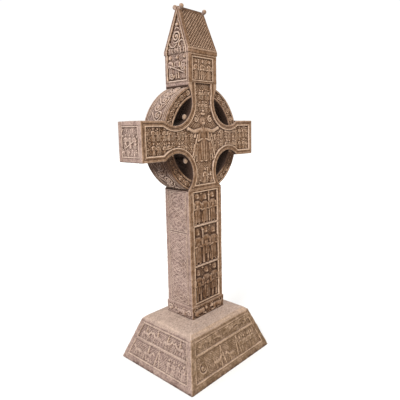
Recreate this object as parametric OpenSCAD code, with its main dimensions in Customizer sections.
// Ringed stone cross: a shaft with a collar and a ringed head cut from one block, standing on a
// battered plinth and topped by a capstone in the shape of a small steep-roofed shrine.
// X runs along the arms, the principal face looks towards -Y, and Z is up from the ground.

/* [Plinth] */
// Width of the plinth at the ground
plinth_foot_w = 1674; // [1480:1:2100]
// Depth of the plinth at the ground
plinth_foot_d = 1416; // [1220:1:1900]
// Width of the plinth at its shoulder
plinth_top_w = 1240; // [1100:1:1460]
// Depth of the plinth at its shoulder
plinth_top_d = 986; // [880:1:1200]
// Height of the shoulder above the ground
plinth_shoulder_z = 578; // [480:1:760]
// Height of the bevel above the shoulder
bevel_h = 42; // [10:1:60]
// How far the bevel runs in from the shoulder
bevel_run = 54; // [20:1:80]
// Rise of the weathered top from the bevel to the foot of the cross
weathering_rise = 55; // [20:1:90]
// Width of the plain margin round the plinth's carved panels
plinth_margin = 78; // [40:1:110]
// Depth of the plinth's carved panels
plinth_panel_depth = 16; // [6:1:30]

/* [Shaft] */
// Width of the collar round the shaft's foot
collar_w = 656; // [640:1:760]
// Depth of the collar
collar_d = 508; // [490:1:640]
// Height of the collar
collar_h = 170; // [130:1:230]
// Width of the shaft at the collar
shaft_foot_w = 636; // [540:1:638]
// Width of the shaft where the head begins
shaft_top_w = 662; // [600:1:700]
// Depth of the shaft at the collar
shaft_foot_d = 482; // [420:1:488]
// Height of the shaft from the collar to the head
shaft_h = 1605; // [1340:1:1930]
// Lean of the two broad faces, in degrees
batter = 0.54; // [0:0.02:0.9]

/* [Head] */
// Span of the arms
arm_span = 2140; // [1900:1:2570]
// Height of an arm
arm_h = 487; // [420:1:520]
// Height of the arms' middle above the start of the head
arms_above_shaft = 663; // [640:1:700]
// Rise of the capstone's seat over the top of the ring
seat_rise = 10; // [2:1:40]
// Width of the upper limb
upper_w = 536; // [500:1:580]
// Radius of the two upper hollows
upper_hollow_r = 305; // [280:1:312]
// Radius of the two lower hollows
lower_hollow_r = 275; // [255:1:285]

/* [Ring] */
// Outer radius of the ring
ring_r = 712; // [690:1:740]
// Radial width of the ring
ring_w = 140; // [90:1:160]
// Depth of the ring from face to face
ring_d = 390; // [300:1:410]
// Radius of the rolls in the hollows
roll_r = 38; // [20:1:50]
// Length of the rolls
roll_len = 350; // [200:1:370]

/* [Carving] */
// Width of the plain margin between an edge and its panel
panel_margin = 62; // [40:1:70]
// Depth of the carved panels of the broad faces
panel_depth = 34; // [16:1:44]
// Depth of the carved panels of the narrow sides
side_panel_depth = 16; // [6:1:24]
// Width of the roll moulding that frames each panel
frame_roll = 20; // [12:1:26]

/* [Capstone] */
// Height of the capstone's walls
wall_h = 397; // [340:1:490]
// Height of the roof above the walls
roof_h = 534; // [440:1:640]
// Length of the ridge
ridge_len = 474; // [400:1:500]
// Overhang of the eaves
eave = 9; // [2:1:20]
// Radius of the balls on the gable horns
horn_ball_r = 30; // [20:1:36]

/* [Hidden] */
$fn = 96;

cut = 1;                       // how far a cutter runs past the face that it opens
beyond = 3000;                 // longer than the part is wide or deep
row_gap = 50;                  // from one panel of the shaft to the next
foot_gap = 46;                 // from the collar to the shaft's lowest panel
bevel_top_z = plinth_shoulder_z + bevel_h;
cross_z = bevel_top_z + weathering_rise;
shaft_z = cross_z + collar_h;
head_z = shaft_z + shaft_h;
arms_z = head_z + arms_above_shaft;
seat_above_arms = ring_r + seat_rise;
seat_z = arms_z + seat_above_arms;
eave_z = seat_z + wall_h;
ridge_z = eave_z + roof_h;

// Centres of the right-hand hollows from the arms' middle: the upper on the ring, the lower inside it
upper_hollow = [515, 487];
lower_hollow = [500, -436];
centre_half = shaft_top_w / 2 + 4; // half the square of stone that the hollows are cut from

// Half the depth of the broad faces at a height, as their batter sets it
function half_depth(z) = shaft_foot_d / 2 - (z - shaft_z) * tan(batter);

// ---- shared carving ----

// Places its children on a broad face: X across, Z up the face, and +Y into the stone
module on_face(z) translate([0, -half_depth(z), z]) rotate([-batter, 0, 0]) children();

// Puts a copy on the front and one on the back
module front_and_back() {
    children();
    rotate([0, 0, 180]) children();
}

// A flat shape in X and Z, sunk from Y = 0 into the stone to a depth
module sunk(depth) translate([0, depth, 0]) rotate([90, 0, 0]) linear_extrude(depth + cut) children();

// An upright rectangle about X = 0
module upright(w, z0, z1) translate([-w / 2, z0]) square([w, z1 - z0]);

// A framed panel: the field is sunk, and a fine quirk sets off the roll round it
module framed_panel(w, z0, z1, depth) {
    sunk(depth) upright(w, z0, z1);
    quirk = depth / 4;         // depth of the fine groove that sets off the roll
    band = frame_roll / 3;     // its width
    sunk(quirk) difference() {
        upright(w + 2 * frame_roll + 2 * band, z0 - frame_roll - band, z1 + frame_roll + band);
        upright(w + 2 * frame_roll, z0 - frame_roll, z1 + frame_roll);
    }
}

// A robed standing figure, h tall, in relief on a floor at Y = 0; it stands out towards -Y
module figure(h, relief) {
    robe_r = 0.19 * h;
    shoulder_r = 0.165 * h;
    head_r = 0.1 * h;
    translate([0, robe_r - relief, 0]) cylinder(h = 0.62 * h, r1 = robe_r, r2 = shoulder_r);
    translate([0, shoulder_r - relief, 0.62 * h]) sphere(r = shoulder_r);
    translate([0, head_r - relief, 0.88 * h]) sphere(r = head_r);
}

// A row of figures of equal height
module figure_row(count, pitch, h, relief)
    for (i = [0 : count - 1]) translate([(i - (count - 1) / 2) * pitch, 0, 0]) figure(h, relief);

// A crouching beast, length l, in relief: body, haunch, shoulder, head and tail
module beast(l, relief) {
    body_r = 0.17 * l;
    haunch_r = 0.2 * l;
    head_r = 0.15 * l;
    translate([-0.27 * l, body_r - relief * 0.9, 0.2 * l]) rotate([0, 90, 0])
        cylinder(h = 0.5 * l, r = body_r);
    translate([-0.27 * l, haunch_r - relief, 0.2 * l]) sphere(r = haunch_r);
    translate([0.2 * l, haunch_r - relief, 0.22 * l]) sphere(r = haunch_r);
    translate([0.42 * l, head_r - relief, 0.34 * l]) sphere(r = head_r);
}

// A low round boss on a floor at Y = 0: a sloping collar of radius r round a raised middle, h high
module boss(r, h) rotate([90, 0, 0]) {
    cylinder(h = 0.6 * h, r1 = r, r2 = 0.74 * r);
    cylinder(h = h, r1 = 0.62 * r, r2 = 0.36 * r);
}

// ---- plinth ----

// Lean of a plinth face and its length up the slope
function lean(foot, top) = atan((foot - top) / 2 / plinth_shoulder_z);
function slope_len(foot, top) = plinth_shoulder_z / cos(lean(foot, top));

// A frustum with an oblong foot and top, from two crossed prisms
module frustum(foot, top, z0, z1) intersection() {
    rotate([90, 0, 0]) linear_extrude(beyond, center = true)
        polygon([[-foot[0] / 2, z0], [foot[0] / 2, z0], [top[0] / 2, z1], [-top[0] / 2, z1]]);
    rotate([90, 0, 90]) linear_extrude(beyond, center = true)
        polygon([[-foot[1] / 2, z0], [foot[1] / 2, z0], [top[1] / 2, z1], [-top[1] / 2, z1]]);
}

// Heights up a plinth face of the two rows of panels, and the size of what is carved in them
lower_row = [94, 326];
upper_row = [360, 564];
plinth_beast = 180;
plinth_figure = 178;
seat_edge = 6;                 // flat left round the collar on the plinth's top

// Panels of one sloping face: width at the foot w, width at the top t, and the other pair's depth d
module plinth_panels(w, t, foot_d, top_d) {
    a = lean(foot_d, top_d);
    run = slope_len(foot_d, top_d);
    translate([0, -foot_d / 2, 0]) rotate([-a, 0, 0])
        for (row = [lower_row, upper_row]) {
            w0 = w - (w - t) * row[0] / run - 2 * plinth_margin;
            w1 = w - (w - t) * row[1] / run - 2 * plinth_margin;
            sunk(plinth_panel_depth)
                polygon([[-w0 / 2, row[0]], [w0 / 2, row[0]], [w1 / 2, row[1]], [-w1 / 2, row[1]]]);
        }
}

// Worn beasts in the lower row and worn figures in the upper one
module plinth_relief(w, foot_d, top_d, beasts, figures) {
    relief = plinth_panel_depth - 2;
    beast_pitch = w / (beasts + 0.6);
    figure_pitch = w / (figures + 2.4);
    clear = 22;                // ground left under the beasts
    tilt = lean(foot_d, top_d);
    translate([0, -foot_d / 2, 0]) rotate([-tilt, 0, 0]) translate([0, plinth_panel_depth, 0]) {
        for (i = [0 : beasts - 1])
            translate([(i - (beasts - 1) / 2) * beast_pitch, 0, lower_row[0] + clear])
                beast(plinth_beast, relief);
        translate([0, 0, upper_row[0]]) figure_row(figures, figure_pitch, plinth_figure, relief);
    }
}

module plinth() {
    shoulder = [plinth_top_w, plinth_top_d];
    bevel_top = [plinth_top_w - 2 * bevel_run, plinth_top_d - 2 * bevel_run];
    seat = [collar_w + 2 * seat_edge, collar_d + 2 * seat_edge];
    color("#a08876") {
        difference() {
            frustum([plinth_foot_w, plinth_foot_d], shoulder, 0, plinth_shoulder_z);
            front_and_back() {
                plinth_panels(plinth_foot_w, plinth_top_w, plinth_foot_d, plinth_top_d);
                rotate([0, 0, 90]) plinth_panels(plinth_foot_d, plinth_top_d, plinth_foot_w, plinth_top_w);
            }
        }
        frustum(shoulder, bevel_top, plinth_shoulder_z, bevel_top_z);
        frustum(bevel_top, seat, bevel_top_z, cross_z);
        front_and_back() {
            plinth_relief(plinth_foot_w, plinth_foot_d, plinth_top_d, 4, 6);
            rotate([0, 0, 90]) plinth_relief(plinth_foot_d, plinth_foot_w, plinth_top_w, 3, 5);
        }
    }
}

// ---- cross ----

// Outline of the cross, drawn in by an inset; Z is measured from the arms' middle
module head_outline(inset) {
    foot_z = head_z - arms_z;
    difference() {
        union() {
            upright(arm_span - 2 * inset, inset - arm_h / 2, arm_h / 2 - inset);
            upright(upper_w - 2 * inset, 0, seat_above_arms - inset);
            upright(shaft_top_w - 2 * inset, foot_z + inset, 0);
            upright(2 * (centre_half - inset), inset - centre_half, centre_half - inset);
        }
        for (side = [-1, 1]) {
            translate([side * upper_hollow[0], upper_hollow[1]]) circle(r = upper_hollow_r + inset);
            translate([side * lower_hollow[0], lower_hollow[1]]) circle(r = lower_hollow_r + inset);
        }
    }
}

// The whole block before carving: outline times side profile
module cross_block() {
    intersection() {
        union() {
            translate([0, 0, arms_z]) rotate([90, 0, 0])
                linear_extrude(beyond, center = true) head_outline(0);
            rotate([90, 0, 0]) linear_extrude(beyond, center = true)
                polygon([[-shaft_foot_w / 2, shaft_z], [shaft_foot_w / 2, shaft_z],
                         [shaft_top_w / 2, head_z], [-shaft_top_w / 2, head_z]]);
        }
        rotate([90, 0, 90]) linear_extrude(beyond, center = true)
            polygon([[-half_depth(shaft_z), shaft_z], [half_depth(shaft_z), shaft_z],
                     [half_depth(seat_z), seat_z], [-half_depth(seat_z), seat_z]]);
    }
    translate([-collar_w / 2, -collar_d / 2, cross_z]) cube([collar_w, collar_d, collar_h]);
}

// Half profile of the ring: a roll on the inner edge, a sunk carved face, and banded outer mouldings
module ring() {
    inner = ring_r - ring_w;
    face = ring_d / 2;         // the inner edge's roll stands this far from the middle
    inner_roll = 24;
    outer_roll = 26;
    outer_face = face - 4;
    sunk_face = face - 14;
    groove = ring_r - 10;      // a groove runs round the rim, and a wide band is sunk in its middle
    groove_edges = [face - 30, face - 46];
    band = ring_r - 12;
    band_half = 74;
    half = [[inner, face], [inner + inner_roll, face],
            [inner + inner_roll, sunk_face], [ring_r - outer_roll, sunk_face],
            [ring_r - outer_roll, outer_face], [ring_r, outer_face],
            [ring_r, groove_edges[0]], [groove, groove_edges[0]],
            [groove, groove_edges[1]], [ring_r, groove_edges[1]],
            [ring_r, band_half], [band, band_half]];
    mirrored = [for (i = [len(half) - 1 : -1 : 0]) [half[i][0], -half[i][1]]];
    translate([0, 0, arms_z]) rotate([90, 0, 0]) rotate_extrude($fn = 180) polygon(concat(half, mirrored));
}

// A roll lying through each hollow, against its wall on the line to the middle of the head
module hollow_rolls() {
    for (side = [-1, 1], h = [[upper_hollow, upper_hollow_r], [lower_hollow, lower_hollow_r]]) {
        reach = 1 - h[1] / norm(h[0]);
        translate([side * h[0][0] * reach, 0, arms_z + h[0][1] * reach])
            rotate([90, 0, 0]) cylinder(h = roll_len, r = roll_r, center = true);
    }
}

// The shaft's broad faces carry three panels, and its sides two
panel_edges = [0, 0.345, 0.697, 1];
side_edges = [0, 0.645, 1];
function panel_z(edges, i) = shaft_h * edges[i] + (i == 0 ? foot_gap : row_gap / 2);
function panel_top(edges, i) = shaft_h * edges[i + 1] - row_gap / 2;
field_w = shaft_foot_w - 2 * panel_margin;
side_field = shaft_foot_d - 2 * panel_margin;

module shaft_panels() {
    front_and_back() on_face(shaft_z) for (i = [0 : 2])
        framed_panel(field_w, panel_z(panel_edges, i), panel_top(panel_edges, i), panel_depth);
    for (side = [-1, 1]) rotate([0, 0, side * 90]) translate([0, -shaft_foot_w / 2, shaft_z]) {
        side_lean = atan((shaft_top_w - shaft_foot_w) / 2 / shaft_h);
        rotate([side_lean, 0, 0]) for (i = [0 : 1])
            framed_panel(side_field, panel_z(side_edges, i), panel_top(side_edges, i), side_panel_depth);
    }
}

// Three standing figures fill each front panel; a ringed boss fills each back one
module shaft_relief() {
    relief = panel_depth - 2;
    headroom = 24;
    corner_boss = 44;
    on_face(shaft_z) translate([0, panel_depth, 0]) for (i = [0 : 2]) {
        h = panel_top(panel_edges, i) - panel_z(panel_edges, i);
        translate([0, 0, panel_z(panel_edges, i)]) figure_row(3, field_w / 3, h - headroom, relief);
    }
    rotate([0, 0, 180]) on_face(shaft_z) translate([0, panel_depth, 0]) for (i = [0 : 2]) {
        mid = (panel_top(panel_edges, i) + panel_z(panel_edges, i)) / 2;
        translate([0, 0, mid]) {
            boss(field_w * 0.2, relief);
            for (a = [45 : 90 : 315]) rotate([0, a, 0]) translate([field_w * 0.38, 0, 0])
                boss(corner_boss, relief * 0.8);
        }
    }
}

// The panel of the head follows its outline, front and back
module head_panels() front_and_back() on_face(arms_z) {
    sunk(panel_depth) head_outline(panel_margin);
    sunk(panel_depth / 4) difference() {
        head_outline(panel_margin - frame_roll * 4 / 3);
        head_outline(panel_margin - frame_roll);
    }
}

// Arm ends: a framed panel each
module arm_end(z) translate([0, -arm_span / 2, z]) children();

module arm_end_panels() for (side = [-1, 1]) rotate([0, 0, side * 90]) arm_end(arms_z)
    framed_panel(2 * (half_depth(arms_z) - panel_margin), panel_margin - arm_h / 2,
                 arm_h / 2 - panel_margin, side_panel_depth);

// The figures of the head: the height of each, and where its feet stand from the arms' middle
middle_figure = 410;
middle_foot = -250;
arm_figure = 168;
arm_feet = [-176, -2];
arm_first = 470;               // the nearest of a row, out along the arm
arm_pitch = 142;
limb_figure = 250;
limb_foot = 300;
low_figure = 230;
low_foot = -590;

// A figure with arms held out stands in the middle of the head, with smaller ones about it
module head_figures(relief) {
    held_out = 250;            // length of an arm, its radius, and its height over the middle
    held_r = 26;
    held_z = 58;
    translate([0, 0, middle_foot]) figure(middle_figure, relief);
    for (side = [-1, 1]) {
        translate([side * 20, held_r - relief, held_z]) rotate([0, side * 84, 0])
            cylinder(h = held_out, r = held_r);
        for (foot = arm_feet, i = [0 : 3])
            translate([side * (arm_first + i * arm_pitch), 0, foot]) figure(arm_figure, relief * 0.85);
    }
    translate([0, 0, limb_foot]) figure_row(2, 130, limb_figure, relief * 0.85);
    translate([0, 0, low_foot]) figure_row(3, 150, low_figure, relief * 0.85);
}

// The back has bosses: a great one in a circle of small ones, and one on each arm and limb
module head_bosses(relief) {
    boss(120, relief);
    for (a = [0 : 45 : 315]) rotate([0, a, 0]) translate([180, 0, 0]) boss(38, relief * 0.7);
    for (side = [-1, 1]) {
        translate([side * 700, 0, 0]) boss(110, relief * 0.8);
        translate([0, 0, side * 480]) boss(90, relief * 0.8);
    }
}

module head_relief() {
    relief = panel_depth - 2;
    on_face(arms_z) translate([0, panel_depth, 0]) head_figures(relief);
    rotate([0, 0, 180]) on_face(arms_z) translate([0, panel_depth, 0]) head_bosses(relief);
    end_figure = arm_h / 2 - panel_margin - 16;
    for (side = [-1, 1]) rotate([0, 0, side * 90]) arm_end(arms_z) translate([0, side_panel_depth, 0])
        for (foot = [panel_margin - arm_h / 2, 8]) translate([0, 0, foot])
            figure_row(2, 120, end_figure, side_panel_depth);
}

// Two beasts crouch head to head on each broad face of the collar, one on each side
module collar_relief() {
    front_beast = 230;
    side_beast = 210;
    front_and_back() translate([0, -collar_d / 2, cross_z]) for (side = [0, 1]) mirror([side, 0, 0])
        translate([-150, 0, 24]) beast(front_beast, 24);
    for (side = [-1, 1]) rotate([0, 0, side * 90]) translate([0, -collar_w / 2, cross_z + 30])
        beast(side_beast, 14);
}

module cross() color("#9a7f6c") {
    difference() {
        union() {
            cross_block();
            ring();
        }
        shaft_panels();
        head_panels();
        arm_end_panels();
    }
    hollow_rolls();
    shaft_relief();
    head_relief();
    collar_relief();
}

// ---- capstone ----

wall_d = 2 * half_depth(seat_z);
eave_d = wall_d + 2 * eave;
eave_w = upper_w + 2 * eave;
eave_band = 40;                // height of the plain band under the roof
wall_foot = 40;                // from the seat to the walls' panels
wall_head = 62;                // from the front and back panels to the roof
courses = 9;                   // rows of shingles up each slope
shingle = 7;                   // how far a row stands over the one above it
crest = 14;                    // half the width of the roof at its ridge
barge_w = 46;                  // width of a barge board on the gable's face
barge_rise = 8;                // how far it stands over the shingles
gable_depth = 22;              // depth of the carved gable field
roof_slope = atan(roof_h / (eave_d / 2));

// Half depth of the roof at a fraction of its height, before the shingles
function roof_half(f) = (eave_d / 2 - shingle / 2) * (1 - f) + crest * f;

// Section of the roof: shingled slopes under a narrow ridge
module roof_section() {
    right = [for (i = [0 : courses - 1]) let (f0 = i / courses, f1 = (i + 1) / courses)
        each [[roof_half(f0) + shingle, f0 * roof_h], [roof_half(f1), f1 * roof_h]]];
    left = [for (i = [len(right) - 1 : -1 : 0]) [-right[i][0], right[i][1]]];
    polygon(concat(right, left));
}

// The gables lean in a little, so the roof is cut back towards the ridge
module gable_trim(margin) rotate([90, 0, 0]) linear_extrude(beyond, center = true)
    polygon([[-eave_w / 2 + margin, 0], [eave_w / 2 - margin, 0],
             [ridge_len / 2 - margin, roof_h + 4], [-ridge_len / 2 + margin, roof_h + 4]]);

// How far out the floor of the gable's field lies at a height over the eaves
function gable_floor(z) = eave_w / 2 - gable_depth - (eave_w - ridge_len) / 2 * z / roof_h;

// A plain steep triangle, grown or shrunk square to its slopes
module gable_triangle(grow) {
    half = eave_d / 2 + grow / sin(roof_slope);
    polygon([[-half, 0], [half, 0], [0, half * tan(roof_slope)]]);
}

module along_x(len) rotate([90, 0, 90]) linear_extrude(len, center = true) children();

// Short horns curl out from the top of each gable, one to a slope, and end in balls
module horns() {
    horn_r = 19;
    inward = 24;               // how far in from the end of the ridge they stand
    root = 30;                 // how far under the ridge they start
    reach = 58;                // from the ridge out to the middle of a ball
    for (end = [-1, 1], side = [-1, 1])
        translate([end * (ridge_len / 2 - inward), 0, roof_h - root])
        rotate([side * atan(reach / root), 0, 0]) {
            translate([0, 0, -horn_r]) cylinder(h = norm([reach, root]) + horn_r, r = horn_r);
            translate([0, 0, norm([reach, root])]) sphere(r = horn_ball_r);
        }
}

// Barge boards: a raised band up both slopes at each end
module barge_boards() intersection() {
    difference() {
        along_x(beyond) intersection() {
            gable_triangle(barge_rise);
            upright(beyond, 0, roof_h + 6);
        }
        along_x(ridge_len - 2 * barge_w + 2) upright(beyond, -cut, 2 * roof_h);
        along_x(beyond + cut) gable_triangle(-barge_w);
    }
    gable_trim(0);
}

module roof() {
    intersection() {
        along_x(beyond) roof_section();
        gable_trim(gable_depth);
    }
    barge_boards();
    horns();
}

module capstone_walls() difference() {
    translate([-upper_w / 2, -wall_d / 2, 0]) cube([upper_w, wall_d, wall_h]);
    front_and_back() translate([0, -wall_d / 2, 0])
        framed_panel(upper_w - 2 * panel_margin, wall_foot, wall_h - wall_head, panel_depth);
    for (side = [-1, 1]) rotate([0, 0, side * 90]) translate([0, -upper_w / 2, 0])
        framed_panel(wall_d - 2 * panel_margin, wall_foot, wall_h - eave_band, gable_depth);
}

// Three figures in front, a boss behind, and two figures under two bosses at each gable
module capstone_relief() {
    relief = panel_depth - 2;
    tall = wall_h - wall_head - wall_foot;
    gable_bosses = [[130, 74], [292, 30]];     // height over the eaves and radius of each
    translate([0, -wall_d / 2 + panel_depth, wall_foot]) figure_row(3, 132, tall - 6, relief);
    rotate([0, 0, 180]) translate([0, -wall_d / 2 + panel_depth, wall_foot + tall / 2]) boss(120, relief);
    for (side = [-1, 1]) rotate([0, 0, side * 90]) {
        translate([0, -upper_w / 2 + gable_depth, wall_foot]) figure_row(2, 128, tall - 20, gable_depth);
        for (b = gable_bosses)
            translate([0, 4 - gable_floor(b[0]), wall_h + b[0]]) boss(b[1], gable_depth + 2);
    }
}

module capstone() color("#9c8271") translate([0, 0, seat_z]) {
    capstone_walls();
    translate([-eave_w / 2, -eave_d / 2, wall_h - eave_band]) cube([eave_w, eave_d, eave_band]);
    translate([0, 0, wall_h]) roof();
    capstone_relief();
}

plinth();
cross();
capstone();
